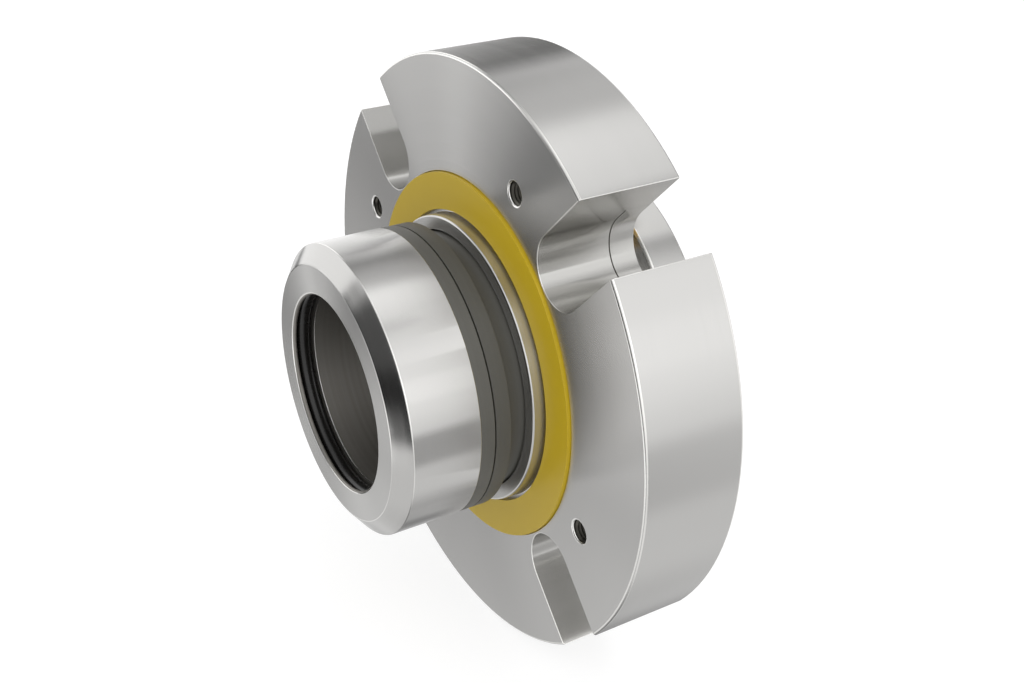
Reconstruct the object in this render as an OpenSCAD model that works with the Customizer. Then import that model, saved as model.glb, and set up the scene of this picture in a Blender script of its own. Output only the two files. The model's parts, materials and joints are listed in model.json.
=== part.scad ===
// Cartridge pusher mechanical seal for a horizontal pump shaft.
// The seal axis lies along Y. The pumped side looks towards -Y and the bearing side towards +Y.
// The origin is on the axis, in the plane of the gland's front face, which bolts to the pump.
// Every piece is drawn along its own z first, with +z towards the pumped side, and then laid down.

/* [Shaft and sleeve] */
// Diameter of the shaft that the sleeve slides on
shaft_d = 45; // [44:0.25:46]
// Wall of the sleeve behind its head
sleeve_wall = 2.5; // [2.2:0.1:2.6]
// Length of sleeve that stands out behind the drive collar
sleeve_tail = 4.2; // [3.8:0.1:8]
// Lead-in chamfer at both ends of the sleeve's bore
bore_chamfer = 0.5; // [0.2:0.1:0.8]

/* [Sleeve head] */
// How far the head stands out past the face rings
head_step = 0.1; // [0:0.1:1]
// Length of the head
head_l = 19; // [18:0.5:24]
// Radial width of the big chamfer on the head's front
head_chamfer_w = 4.1; // [1:0.1:5]
// Axial depth of the big chamfer on the head's front
head_chamfer_l = 3.1; // [1:0.1:5]
// Wall of the head round the rotating face
head_wall = 2.9; // [2.6:0.1:3.2]
// Depth of the pocket that takes the rotating face
pocket_l = 8.7; // [8.2:0.1:9.5]

/* [Shaft O-ring] */
// Thickness of the O-ring that seals the sleeve on the shaft
shaft_ring_t = 3.5; // [3:0.1:3.6]
// Width of the groove that holds it
shaft_groove_w = 4.3; // [3.8:0.1:4.6]
// Land of the bore in front of that groove
shaft_groove_land = 1; // [0.8:0.1:1.2]

/* [Running faces] */
// Radial width of the stationary ring's neck, which slides in the gland
neck_w = 4.3; // [4.2:0.1:4.6]
// How far both face rings stand out past the neck
face_step = 3.1; // [2.8:0.1:3.2]
// Length of the rotating ring that shows behind the head
rotating_flange_l = 3.3; // [2:0.1:5]
// Length of the stationary ring's large end
stationary_head_l = 3.6; // [2:0.1:5]
// How far the raised lip that runs on the rotating ring lies inside the rings' rim
lip_inset = 1.8; // [1:0.1:2.5]
// Radial width of that lip
lip_w = 3.6; // [2:0.1:4]
// Height of that lip
lip_h = 0.3; // [0.2:0.1:1]
// How far the neck reaches into the spring chamber
neck_reach = 3.5; // [3:0.1:3.7]
// Gap between the gland's pilot and the stationary ring's large end
pilot_to_head = 5; // [3:0.5:8]
// Radial gap between the sleeve and the rings that stand still round it
sleeve_gap = 1; // [0.8:0.1:1.1]
// Radial gap between the sleeve and the rotating ring
rotating_gap = 0.6; // [0.3:0.1:0.8]

/* [Rotating ring's O-ring] */
// Thickness of the O-ring between the rotating ring and the head's pocket
rotating_ring_t = 2.4; // [2:0.1:2.5]
// Width of its groove in the rotating ring
rotating_groove_w = 3.2; // [2.8:0.1:3.4]
// Distance from the rotating ring's flange to that groove
rotating_groove_land = 1; // [0.6:0.1:1.2]

/* [Sliding O-ring] */
// Thickness of the O-ring that the stationary ring slides in
sliding_ring_t = 2.85; // [2.4:0.05:3]
// Width of its groove in the gland
sliding_groove_w = 3.4; // [3.2:0.1:3.6]
// Depth of that groove's front edge behind the gland's front face
sliding_groove_z = 2; // [1.5:0.1:2.2]
// Land between that groove and the spring chamber
sliding_land = 2.1; // [1.8:0.1:2.6]

/* [Gland] */
// Outer diameter of the gland
gland_d = 140; // [138:1:150]
// Thickness of the gland
gland_t = 24; // [23.8:0.1:26]
// Small chamfer on the gland's outer edges
edge_break = 0.4; // [0.1:0.1:1]
// Wall of the pilot that centres the gland in the pump
pilot_wall = 3.3; // [3.2:0.1:3.5]
// Height of the pilot
pilot_h = 3.4; // [3:0.1:5]
// Small chamfer on the pilot's front edge
pilot_break = 0.3; // [0.1:0.1:0.5]
// Number of stud slots, and of every other pattern round the gland
slot_n = 4; // [4:1:4]
// Width of a stud slot
slot_w = 16.3; // [14:0.1:18]
// Land between the gasket's seat and the bottom of a slot
slot_land = 0.64; // [0.2:0.02:2]
// Angle of the first slot
slot_angle = 45; // [40:1:50]

/* [Gland gasket] */
// Radial width of the gasket
gasket_w = 8.55; // [7:0.05:8.6]
// Thickness of the gasket
gasket_t = 1.55; // [1.2:0.05:2]
// Height of the gasket above the gland's front face
gasket_proud = 0.8; // [0.4:0.1:1]
// Radial gap between the pilot and the gasket
gasket_gap = 0.85; // [0.85:0.05:1.2]
// Radial gap between the gasket and the edge of its seat
seat_gap = 0.16; // [0.1:0.02:0.4]

/* [Cover ring and its screws] */
// Wall of the cover ring outside the clip screws' holes
cover_land = 2.8; // [2:0.1:4.5]
// Thickness of the cover ring
cover_t = 6.2; // [6:0.1:6.4]
// Floor left behind each spring pocket in the cover ring
cover_floor = 2; // [1.6:0.1:2.2]
// Thread diameter of the countersunk cover screws
cover_screw_d = 4; // [3:0.5:4.5]
// Length of the cover screws
cover_screw_l = 12; // [10:1:16]
// How far the cover screws lie inside the circle of the clip screws
cover_screw_inset = 2.7; // [1:0.1:4.5]

/* [Springs and pins] */
// Number of springs
spring_n = 8; // [8:1:8]
// Wire diameter
spring_wire = 0.7; // [0.5:0.05:0.75]
// Mean diameter of a spring's coils
spring_d = 3.2; // [2.6:0.1:3.3]
// Number of open coils between the closed end coils
spring_coils = 4; // [3:0.5:4]
// Distance from the cover ring's bore to the middle of a spring
spring_inset = 4.6; // [4.4:0.1:4.8]
// Wall between the spring pockets and the wall of the chamber in front of them
chamber_room = 1.45; // [1.2:0.05:1.8]
// Thickness of the thrust plate between the springs and the stationary ring
thrust_t = 2.5; // [2:0.1:3]
// Diameter of the pins that keep the stationary ring from turning
hold_pin_d = 3; // [2.5:0.1:3.2]
// Diameter of the pins that drive the rotating ring
drive_pin_d = 3; // [2.5:0.1:3.2]
// How far the springs let the stationary ring be pushed back
face_travel = 2; // [1:0.1:2.2]

/* [Drive collar] */
// Wall of the drive collar round the sleeve
collar_wall = 15.5; // [15:0.5:17]
// Width of the drive collar
collar_w = 9.5; // [9:0.1:14]
// Small chamfer on the collar's edges
collar_break = 0.5; // [0.2:0.1:1]
// Gap between the gland's back and the collar, which the setting clips fill
collar_gap = 5; // [4:0.1:7]
// How far the collar stands out past its boss, which the setting clips bear on
boss_step = 4.5; // [3.5:0.1:6]
// Gap between the boss and the gland's back
boss_gap = 1; // [0.5:0.1:2]
// Thread diameter of the set screws
set_screw_d = 6; // [5:0.5:6.5]
// Number of set screws
set_screw_n = 4; // [3:1:6]
// How deep the set screws' outer ends lie in the collar
set_screw_sink = 1; // [0.5:0.1:3]

/* [Retaining ring] */
// Thickness of the retaining ring behind the collar
retainer_t = 1.5; // [1:0.1:1.8]
// Depth of its groove in the sleeve
retainer_depth = 1; // [0.6:0.1:1.2]
// Height of the retaining ring above the sleeve
retainer_h = 2.6; // [1.5:0.1:4]
// Angle of the ring's opening
retainer_open = 24; // [16:1:60]

/* [Setting clips] */
// Room between the collar and the heads of the clip screws
clip_room = 6.95; // [6:0.05:8]
// Angle from a slot to its neighbouring clip screw
clip_angle = 22.5; // [20:0.5:25]
// Thread diameter of the clip screws
clip_screw_d = 5; // [4:0.5:5.5]
// Length of the clip screws under their heads
clip_screw_l = 20; // [16:1:22]
// Head diameter of the clip screws
clip_head_d = 8.5; // [7.5:0.1:9]
// Head height of the clip screws
clip_head_h = 5; // [3:0.1:6]
// Radius of a clip's round outer end
clip_round_r = 7; // [6:0.1:8]
// Width of a clip's tongue
clip_w = 11; // [8:0.5:12]

/* [Hidden] */
$fn = 96;

// Clearances
fit_gap = 0.03;       // between pieces that are screwed, pressed or seated together
slide_gap = 0.05;     // between pieces that turn or slide on one another
loose_gap = 0.3;      // between pieces that must pass one another freely
neck_gap = 0.4;       // round the stationary ring's neck in the gland's bore
cut = 1;              // how far a cutting tool runs past what it cuts

// Radii, from the shaft outwards
shaft_r = shaft_d / 2;
sleeve_r = shaft_r + sleeve_wall;
turning_bore_r = sleeve_r + rotating_gap;
still_bore_r = sleeve_r + sleeve_gap;
neck_r = still_bore_r + neck_w;
gland_bore_r = neck_r + neck_gap;
pilot_r = gland_bore_r + pilot_wall;
gasket_r = pilot_r + gasket_gap + gasket_w;
seat_r = gasket_r + seat_gap;
slot_end_r = seat_r + slot_land + slot_w / 2;
gland_r = gland_d / 2;
face_r = neck_r + face_step;
lip_r = face_r - lip_inset;
head_r = face_r + head_step;
pocket_r = head_r - head_wall;
rotating_neck_r = pocket_r - loose_gap;
spring_r = (spring_d + spring_wire) / 2;
spring_pocket_r = spring_r + loose_gap;
spring_circle_r = still_bore_r + spring_inset;
chamber_r = spring_circle_r + spring_pocket_r + chamber_room;
collar_r = sleeve_r + collar_wall;
boss_r = collar_r - boss_step;
clip_circle_r = collar_r + clip_room + clip_head_d / 2;
cover_r = clip_circle_r + clip_screw_d / 2 + cover_land;
cover_seat_r = cover_r + fit_gap;
cover_screw_circle_r = clip_circle_r - cover_screw_inset;

// Heights along the axis, from the gland's front face
pilot_z = pilot_h;
stationary_head_z = pilot_z + pilot_to_head;
lip_root_z = stationary_head_z + stationary_head_l;
face_z = lip_root_z + lip_h;
head_z = face_z + rotating_flange_l;
pocket_z = head_z + pocket_l;
front_z = head_z + head_l;
shaft_groove_front = front_z - shaft_groove_land;
shaft_groove_back = shaft_groove_front - shaft_groove_w;
gasket_seat_z = gasket_proud - gasket_t;
sliding_groove_back = -sliding_groove_z - sliding_groove_w;
chamber_z = sliding_groove_back - sliding_land;
stationary_end_z = chamber_z - neck_reach;
thrust_back_z = stationary_end_z - thrust_t;
cover_front_z = -gland_t + cover_t;
spring_back_z = -gland_t + cover_floor;
collar_front_z = -gland_t - collar_gap;
collar_back_z = collar_front_z - collar_w;
boss_front_z = -gland_t - boss_gap;
set_screw_z = collar_front_z - collar_w / 2;
retainer_front_z = collar_back_z - fit_gap;
retainer_groove_back = retainer_front_z - retainer_t - fit_gap;
sleeve_end_z = collar_back_z - sleeve_tail;

// Rings and grooves
shaft_ring_r = shaft_r + slide_gap + shaft_ring_t / 2;
shaft_groove_r = shaft_ring_r + shaft_ring_t / 2 + slide_gap;
rotating_groove_front = head_z + rotating_groove_land + rotating_groove_w;
rotating_ring_r = pocket_r - slide_gap - rotating_ring_t / 2;
rotating_groove_r = rotating_ring_r - rotating_ring_t / 2 - slide_gap;
sliding_ring_r = neck_r + slide_gap + sliding_ring_t / 2;
sliding_groove_r = sliding_ring_r + sliding_ring_t / 2 + slide_gap;

// Pins
pin_sink = 4;
drive_pin_circle_r = (turning_bore_r + rotating_neck_r) / 2;
drive_slot_l = 2.4;
rotating_end_z = pocket_z - loose_gap;
drive_pin_end_z = rotating_end_z - drive_slot_l + loose_gap;
hold_pin_circle_r = (still_bore_r + neck_r) / 2;
hold_grip = 2;
hold_pin_end_z = stationary_end_z + hold_grip;
hold_slot_z = hold_pin_end_z + face_travel + loose_gap + slide_gap;

// Screws and clips. The ratios are sizes over the thread's diameter
hex_ratio = 2 / sqrt(3);        // a hexagon's width over its corners to that across its flats
countersunk_ratio = 0.95;       // radius of a countersunk head
countersunk_hex_ratio = 0.625;  // socket across flats in a countersunk head
cap_hex_ratio = 0.8;            // socket across flats in a cap head
set_hex_ratio = 0.5;            // socket across flats in a set screw
socket_ratio = 0.5;             // depth of a socket
clip_t = collar_gap - 2 * slide_gap;
clip_tongue_r = clip_circle_r - boss_r - 2 * slide_gap;
clip_back_z = -gland_t - slide_gap - clip_t;
clip_head_z = clip_back_z - slide_gap;
hole_break = 0.3;
cover_head_r = countersunk_ratio * cover_screw_d;
first_clip_angle = slot_angle + clip_angle;
first_cover_angle = slot_angle - 2 * clip_angle;
set_screw_angle = slot_angle - clip_angle;
spring_angle = 180 / spring_n;
spring_sides = 6;
spring_steps = 14;

// Lays a piece down: its own +z turns to -Y, and its own +y to +Z
module lay() {
  rotate([90, 0, 0]) children();
}

// Copies a piece round the axis, n times from a first angle
module around(n, first = 0) {
  for (i = [0 : n - 1]) rotate(first + i * 360 / n) children();
}

// A turned solid between two heights
module disc(r, from, to) {
  translate([0, 0, from]) cylinder(r = r, h = to - from);
}

// A turned solid with a hole through it
module ring(outer, inner, from, to) {
  difference() {
    disc(outer, from, to);
    disc(inner, from - cut, to + cut);
  }
}

// A round-section ring
module o_ring(r, t, z) {
  translate([0, 0, z]) rotate_extrude() translate([r, 0]) circle(d = t, $fn = 32);
}

// The open U of one stud slot, cut from the rim inwards
module slot_cutter() {
  translate([0, 0, -gland_t - cut]) linear_extrude(gland_t + 2 * cut) {
    translate([slot_end_r, 0]) circle(d = slot_w);
    translate([slot_end_r, -slot_w / 2]) square([gland_r, slot_w]);
  }
}

// A hole with a broken edge at its open end, which faces +z
module broken_hole(r, from, to) {
  disc(r, from - cut, to + cut);
  translate([0, 0, to - hole_break]) cylinder(r1 = r, r2 = r + hole_break + cut, h = hole_break + cut);
}

// A hexagon socket, with its mouth facing -z
module hex_socket(across, from, to) {
  translate([0, 0, from]) cylinder(d = across * hex_ratio, h = to - from, $fn = 6);
}

// Gland: turned flange with its pilot, gasket seat, sliding bore and spring chamber
module gland_profile() {
  polygon([
    [gland_bore_r, pilot_z],
    [pilot_r - pilot_break, pilot_z],
    [pilot_r, pilot_z - pilot_break],
    [pilot_r, gasket_seat_z],
    [seat_r, gasket_seat_z],
    [seat_r, 0],
    [gland_r - edge_break, 0],
    [gland_r, -edge_break],
    [gland_r, edge_break - gland_t],
    [gland_r - edge_break, -gland_t],
    [cover_seat_r, -gland_t],
    [cover_seat_r, cover_front_z],
    [chamber_r, cover_front_z],
    [chamber_r, chamber_z],
    [gland_bore_r, chamber_z],
    [gland_bore_r, sliding_groove_back],
    [sliding_groove_r, sliding_groove_back],
    [sliding_groove_r, -sliding_groove_z],
    [gland_bore_r, -sliding_groove_z]
  ]);
}

module gland() {
  color("#c9c9c6") lay() difference() {
    rotate_extrude() gland_profile();
    around(slot_n, slot_angle) slot_cutter();
    around(slot_n, first_clip_angle) translate([clip_circle_r, 0, 0])
      broken_hole(clip_screw_d / 2 + fit_gap, -gland_t, 0);
    around(slot_n, first_cover_angle) translate([cover_screw_circle_r, 0, 0])
      disc(cover_screw_d / 2 + fit_gap, cover_front_z - cut, cover_screw_l - gland_t + loose_gap);
  }
}

// Gasket: a flat ring in its seat round the pilot, proud of the gland's face
module gland_gasket() {
  color("#b3941f") lay() ring(gasket_r, pilot_r + gasket_gap, gasket_seat_z, gasket_proud);
}

// Cover ring: closes the spring chamber from behind, flush with the gland's back and slots
module cover_ring() {
  color("#bcbcb9") lay() difference() {
    ring(cover_r, still_bore_r, -gland_t, cover_front_z);
    around(slot_n, slot_angle) slot_cutter();
    around(spring_n, spring_angle) translate([spring_circle_r, 0, 0])
      disc(spring_pocket_r, spring_back_z, cover_front_z + cut);
    around(slot_n, first_clip_angle) translate([clip_circle_r, 0, 0])
      disc(clip_screw_d / 2 + fit_gap, -gland_t - cut, cover_front_z + cut);
    around(slot_n, first_cover_angle) translate([cover_screw_circle_r, 0, 0]) cover_screw_hole();
    around(2) translate([hold_pin_circle_r, 0, 0])
      disc(hold_pin_d / 2 + fit_gap, cover_front_z - pin_sink, cover_front_z + cut);
  }
}

// A countersunk hole in the cover ring's back
module cover_screw_hole() {
  disc(cover_screw_d / 2 + fit_gap, -gland_t - cut, cover_front_z + cut);
  countersink(fit_gap, cut);
}

// The countersunk cone at the back of the cover ring, grown by a gap and run out past the face
module countersink(gap, out) {
  translate([0, 0, -gland_t - out])
    cylinder(r1 = cover_head_r + gap + out, r2 = gap, h = cover_head_r + out);
}

// Countersunk screws that hold the cover ring in the gland
module cover_screws() {
  color("#8f8f8c") lay() around(slot_n, first_cover_angle) translate([cover_screw_circle_r, 0, 0])
    difference() {
      union() {
        disc(cover_screw_d / 2, -gland_t, -gland_t + cover_screw_l);
        countersink(0, 0);
      }
      hex_socket(countersunk_hex_ratio * cover_screw_d, -gland_t - cut,
        -gland_t + socket_ratio * cover_screw_d);
    }
}

// Cap screws that clamp the setting clips, each the pivot of its clip
module clip_screws() {
  color("#8f8f8c") lay() around(slot_n, first_clip_angle) translate([clip_circle_r, 0, 0])
    difference() {
      union() {
        disc(clip_screw_d / 2, clip_head_z, clip_head_z + clip_screw_l);
        disc(clip_head_d / 2, clip_head_z - clip_head_h, clip_head_z);
      }
      hex_socket(cap_hex_ratio * clip_screw_d, clip_head_z - clip_head_h - cut,
        clip_head_z - clip_head_h + socket_ratio * clip_screw_d);
    }
}

// Pins in the cover ring that reach through the thrust plate into the stationary ring
module anti_rotation_pins() {
  color("#9a9a98") lay() around(2) translate([hold_pin_circle_r, 0, 0])
    disc(hold_pin_d / 2, cover_front_z - pin_sink, hold_pin_end_z);
}

// Sliding O-ring in the gland's groove, which the stationary ring moves in
module stationary_o_ring() {
  color("#1d1d1c") lay()
    o_ring(sliding_ring_r, sliding_ring_t, -sliding_groove_z - sliding_groove_w / 2);
}

// Coil spring: a round wire swept along a helix whose end coils lie closed
spring_turns = spring_coils + 2;
spring_free = thrust_back_z - spring_back_z - 2 * fit_gap - spring_wire;
spring_rise = (spring_free - 2 * spring_wire) / spring_coils;

function spring_height(turn) =
  turn < 1 ? turn * spring_wire
  : turn > spring_turns - 1 ? spring_free - (spring_turns - turn) * spring_wire
  : spring_wire + (turn - 1) * spring_rise;

function spring_slope(turn) =
  atan((turn < 1 || turn > spring_turns - 1 ? spring_wire : spring_rise) / (PI * spring_d));

function spring_point(turn, side) =
  let(
    a = 360 * turn,
    s = 360 * side / spring_sides,
    tilt = spring_slope(turn),
    out = spring_wire / 2 * cos(s),
    up = spring_wire / 2 * sin(s)
  )
  [
    (spring_d / 2 + out) * cos(a) + up * sin(tilt) * sin(a),
    (spring_d / 2 + out) * sin(a) - up * sin(tilt) * cos(a),
    spring_height(turn) + up * cos(tilt)
  ];

module coil_spring() {
  last = spring_turns * spring_steps;
  points = [
    for (i = [0 : last]) for (k = [0 : spring_sides - 1]) spring_point(i / spring_steps, k)
  ];
  tube = [
    for (i = [0 : last - 1]) for (k = [0 : spring_sides - 1])
      let(a = i * spring_sides, b = (k + 1) % spring_sides)
      [a + k, a + b, a + b + spring_sides, a + k + spring_sides]
  ];
  start = [[for (k = [0 : spring_sides - 1]) spring_sides - 1 - k]];
  end = [[for (k = [0 : spring_sides - 1]) last * spring_sides + k]];
  polyhedron(points = points, faces = concat(start, tube, end), convexity = 8);
}

module spring(i) {
  color("#b9b9b6") lay() rotate(spring_angle + (i - 1) * 360 / spring_n)
    translate([spring_circle_r, 0, spring_back_z + fit_gap + spring_wire / 2]) coil_spring();
}

// Thrust plate: spreads the springs' push over the stationary ring
module thrust_plate() {
  color("#b4b4b1") lay() difference() {
    ring(chamber_r - 2 * neck_gap, still_bore_r + neck_gap, thrust_back_z, stationary_end_z);
    around(2) translate([hold_pin_circle_r, 0, 0])
      disc(hold_pin_d / 2 + neck_gap, thrust_back_z - cut, stationary_end_z + cut);
  }
}

// Stationary face: carbon ring with a raised running lip, a large head and a sliding neck
module stationary_face() {
  color("#4f4e4a") lay() difference() {
    union() {
      ring(lip_r, lip_r - lip_w, lip_root_z, face_z);
      ring(face_r, still_bore_r, stationary_head_z, lip_root_z);
      ring(neck_r, still_bore_r, stationary_end_z, stationary_head_z);
    }
    around(2) translate([hold_pin_circle_r - neck_r, -hold_pin_d / 2 - loose_gap, stationary_end_z - cut])
      cube([2 * neck_r, hold_pin_d + 2 * loose_gap, hold_slot_z - stationary_end_z + cut]);
  }
}

// Sleeve: one turned piece, from the chamfered head to the tail behind the collar
module sleeve_profile() {
  polygon([
    [shaft_r + bore_chamfer, front_z],
    [head_r - head_chamfer_w, front_z],
    [head_r, front_z - head_chamfer_l],
    [head_r, head_z],
    [pocket_r, head_z],
    [pocket_r, pocket_z],
    [sleeve_r, pocket_z],
    [sleeve_r, retainer_front_z],
    [sleeve_r - retainer_depth, retainer_front_z],
    [sleeve_r - retainer_depth, retainer_groove_back],
    [sleeve_r, retainer_groove_back],
    [sleeve_r, sleeve_end_z + bore_chamfer],
    [sleeve_r - bore_chamfer, sleeve_end_z],
    [shaft_r + bore_chamfer, sleeve_end_z],
    [shaft_r, sleeve_end_z + bore_chamfer],
    [shaft_r, shaft_groove_back],
    [shaft_groove_r, shaft_groove_back],
    [shaft_groove_r, shaft_groove_front],
    [shaft_r, shaft_groove_front],
    [shaft_r, front_z - bore_chamfer]
  ]);
}

module sleeve() {
  color("#cfcfcc") lay() difference() {
    rotate_extrude() sleeve_profile();
    around(2) translate([drive_pin_circle_r, 0, 0])
      disc(drive_pin_d / 2 + fit_gap, pocket_z - cut, pocket_z + pin_sink);
    around(set_screw_n, set_screw_angle) set_screw_hole(set_screw_d / 2 + loose_gap);
  }
}

// Shaft O-ring in the sleeve head's bore
module sleeve_o_ring() {
  color("#161615") lay()
    o_ring(shaft_ring_r, shaft_ring_t, (shaft_groove_front + shaft_groove_back) / 2);
}

// Rotating face: flanged ring whose neck sits in the head's pocket
module rotating_face() {
  color("#5c5b57") lay() difference() {
    union() {
      ring(face_r, turning_bore_r, face_z, head_z);
      ring(rotating_neck_r, turning_bore_r, head_z, rotating_end_z);
    }
    ring(rotating_neck_r + cut, rotating_groove_r, head_z + rotating_groove_land, rotating_groove_front);
    around(2) translate([0, -drive_pin_d / 2 - loose_gap, rotating_end_z - drive_slot_l])
      cube([rotating_neck_r + cut, drive_pin_d + 2 * loose_gap, drive_slot_l + cut]);
  }
}

// O-ring between the rotating ring and the pocket
module rotating_o_ring() {
  color("#1d1d1c") lay()
    o_ring(rotating_ring_r, rotating_ring_t, rotating_groove_front - rotating_groove_w / 2);
}

// Pins in the pocket's floor that carry the rotating ring round
module drive_pins() {
  color("#9a9a98") lay() around(2) translate([drive_pin_circle_r, 0, 0])
    disc(drive_pin_d / 2, drive_pin_end_z, pocket_z + pin_sink);
}

// Radial hole for a set screw, from the axis outwards
module set_screw_hole(r) {
  translate([0, 0, set_screw_z]) rotate([0, 90, 0]) cylinder(r = r, h = collar_r + cut);
}

// Drive collar: clamps the sleeve to the shaft, with a boss that the setting clips bear on
module drive_collar() {
  color("#c4c4c1") lay() difference() {
    rotate_extrude() polygon([
      [sleeve_r + fit_gap, boss_front_z],
      [boss_r, boss_front_z],
      [boss_r, collar_front_z],
      [collar_r - collar_break, collar_front_z],
      [collar_r, collar_front_z - collar_break],
      [collar_r, collar_back_z + collar_break],
      [collar_r - collar_break, collar_back_z],
      [sleeve_r + fit_gap, collar_back_z]
    ]);
    around(set_screw_n, set_screw_angle) set_screw_hole(set_screw_d / 2 + fit_gap);
  }
}

// Set screws: cone-pointed, through the collar and the sleeve onto the shaft
module set_screws() {
  point_l = set_screw_d / 4;
  tip_r = shaft_r + 2 * slide_gap;
  end_r = collar_r - set_screw_sink;
  color("#7d7d7a") lay() around(set_screw_n, set_screw_angle)
    translate([0, 0, set_screw_z]) rotate([0, 90, 0]) difference() {
      union() {
        disc(set_screw_d / 2, tip_r + point_l, end_r);
        translate([0, 0, tip_r]) cylinder(r1 = set_screw_d / 4, r2 = set_screw_d / 2, h = point_l);
      }
      hex_socket(set_hex_ratio * set_screw_d, end_r - socket_ratio * set_screw_d, end_r + cut);
    }
}

// Retaining ring: open spring ring with two eyed lugs, behind the collar
module retaining_ring() {
  inner = sleeve_r - retainer_depth + fit_gap;
  outer = sleeve_r + retainer_h;
  lug_r = 2;
  lug_turn = retainer_open / 2 + asin(lug_r / outer);
  color("#6f6f6c") lay()
    translate([0, 0, retainer_front_z - retainer_t]) linear_extrude(retainer_t) difference() {
      union() {
        circle(r = outer);
        for (side = [-1, 1]) rotate(side * lug_turn) translate([outer, 0]) circle(r = lug_r);
      }
      circle(r = inner);
      polygon([
        [0, 0],
        2 * outer * [cos(retainer_open / 2), sin(retainer_open / 2)],
        2 * outer * [cos(retainer_open / 2), -sin(retainer_open / 2)]
      ]);
      for (side = [-1, 1]) rotate(side * lug_turn) translate([outer, 0]) circle(r = lug_r / 2);
    }
}

// Setting clip: swings on its screw. Its tongue sets the sleeve true to the gland
module setting_clip(i) {
  color("#c6a24a") lay() rotate(first_clip_angle + (i - 1) * 360 / slot_n)
    translate([clip_circle_r, 0, clip_back_z]) linear_extrude(clip_t) difference() {
      union() {
        circle(r = clip_round_r);
        intersection() {
          circle(r = clip_tongue_r);
          translate([-2 * clip_tongue_r, -clip_w / 2]) square([2 * clip_tongue_r, clip_w]);
        }
      }
      circle(r = clip_screw_d / 2 + slide_gap);
    }
}

gland();
gland_gasket();
cover_ring();
cover_screws();
clip_screws();
anti_rotation_pins();
stationary_o_ring();
spring(1);  // spring_1
spring(2);  // spring_2
spring(3);  // spring_3
spring(4);  // spring_4
spring(5);  // spring_5
spring(6);  // spring_6
spring(7);  // spring_7
spring(8);  // spring_8
thrust_plate();
stationary_face();
sleeve();
sleeve_o_ring();
rotating_face();
rotating_o_ring();
drive_pins();
drive_collar();
set_screws();
retaining_ring();
setting_clip(1);  // setting_clip_1
setting_clip(2);  // setting_clip_2
setting_clip(3);  // setting_clip_3
setting_clip(4);  // setting_clip_4
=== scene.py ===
# %% [markdown]
# # A cartridge seal for a pump shaft
# The object is a pusher mechanical seal: a turned steel gland that bolts to the pump, a sleeve that turns
# with the shaft, and two flat rings that run on each other between them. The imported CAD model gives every
# size. This script gives each piece the surface that its making leaves on it, and adds what the CAD leaves
# plain: screw threads, knurled screw heads and smooth round springs.

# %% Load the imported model
import json
from math import atan2, cos, hypot, pi, radians, sin, sqrt, tau

import bpy
from mathutils import Matrix, Vector


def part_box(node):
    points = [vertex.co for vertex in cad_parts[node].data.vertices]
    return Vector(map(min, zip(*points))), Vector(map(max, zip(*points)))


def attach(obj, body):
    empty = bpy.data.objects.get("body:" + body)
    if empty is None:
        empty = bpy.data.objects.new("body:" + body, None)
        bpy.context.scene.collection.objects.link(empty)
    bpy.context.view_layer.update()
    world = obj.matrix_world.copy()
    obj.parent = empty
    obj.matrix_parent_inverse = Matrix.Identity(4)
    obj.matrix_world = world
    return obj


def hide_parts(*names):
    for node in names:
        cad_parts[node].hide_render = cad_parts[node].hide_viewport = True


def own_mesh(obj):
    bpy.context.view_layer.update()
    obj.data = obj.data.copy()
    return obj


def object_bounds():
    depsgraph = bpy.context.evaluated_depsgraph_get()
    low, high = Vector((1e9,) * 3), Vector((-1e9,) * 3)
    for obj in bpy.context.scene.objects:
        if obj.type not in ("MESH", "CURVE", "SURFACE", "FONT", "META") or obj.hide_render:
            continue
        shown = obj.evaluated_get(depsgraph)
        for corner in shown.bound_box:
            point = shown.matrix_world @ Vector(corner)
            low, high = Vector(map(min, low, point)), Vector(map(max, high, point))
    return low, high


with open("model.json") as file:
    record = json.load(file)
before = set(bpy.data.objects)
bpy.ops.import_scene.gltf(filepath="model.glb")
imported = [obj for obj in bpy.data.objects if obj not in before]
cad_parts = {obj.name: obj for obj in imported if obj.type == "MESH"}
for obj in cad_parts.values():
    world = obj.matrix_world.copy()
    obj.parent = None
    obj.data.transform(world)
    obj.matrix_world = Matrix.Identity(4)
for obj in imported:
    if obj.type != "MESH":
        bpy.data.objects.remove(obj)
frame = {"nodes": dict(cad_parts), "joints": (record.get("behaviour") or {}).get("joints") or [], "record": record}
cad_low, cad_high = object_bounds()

MM = 0.001
record = frame["record"]
slot_of = {piece["node"]: piece["material_slot"] for piece in record["subparts"]}
body_of = {node: body for body, nodes in record["behaviour"]["bodies"].items() for node in nodes}
print(len(frame["nodes"]), "CAD nodes in a box from", tuple(cad_low), "to", tuple(cad_high))


# %% [markdown]
# ## Sizes
# The frame's own boxes give the radii and depths that the finishes and the new pieces need, so nothing is
# measured twice. The seal's axis lies along Y. The pumped side looks towards -Y.

# %% Sizes from the frame
def outer_radius(node):
    """The largest radius of a piece that is round about the seal's axis."""
    low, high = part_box(node)
    return max(high.x, high.z, -low.x, -low.z)


def depth_of(node):
    """Where a piece starts and ends along the seal's axis, front first."""
    low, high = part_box(node)
    return low.y, high.y


def mount_radius(name):
    """The radius of a round mount, such as the bore that takes the shaft."""
    mount = next(mount for mount in record["mounts"] if mount["name"] == name)
    return mount["dims"]["r_mm"] * MM


gland_r = outer_radius("gland")
gasket_r = outer_radius("gland_gasket")
shaft_r = mount_radius("shaft_bore")
pilot_r = mount_radius("pilot")
pivots = [Vector(joint["pos_m"]) for joint in frame["joints"] if joint["name"].startswith("clip_")]
print(f"radii in mm: gland {gland_r / MM:.1f}, gasket {gasket_r / MM:.1f}, shaft {shaft_r / MM:.1f}")


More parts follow.
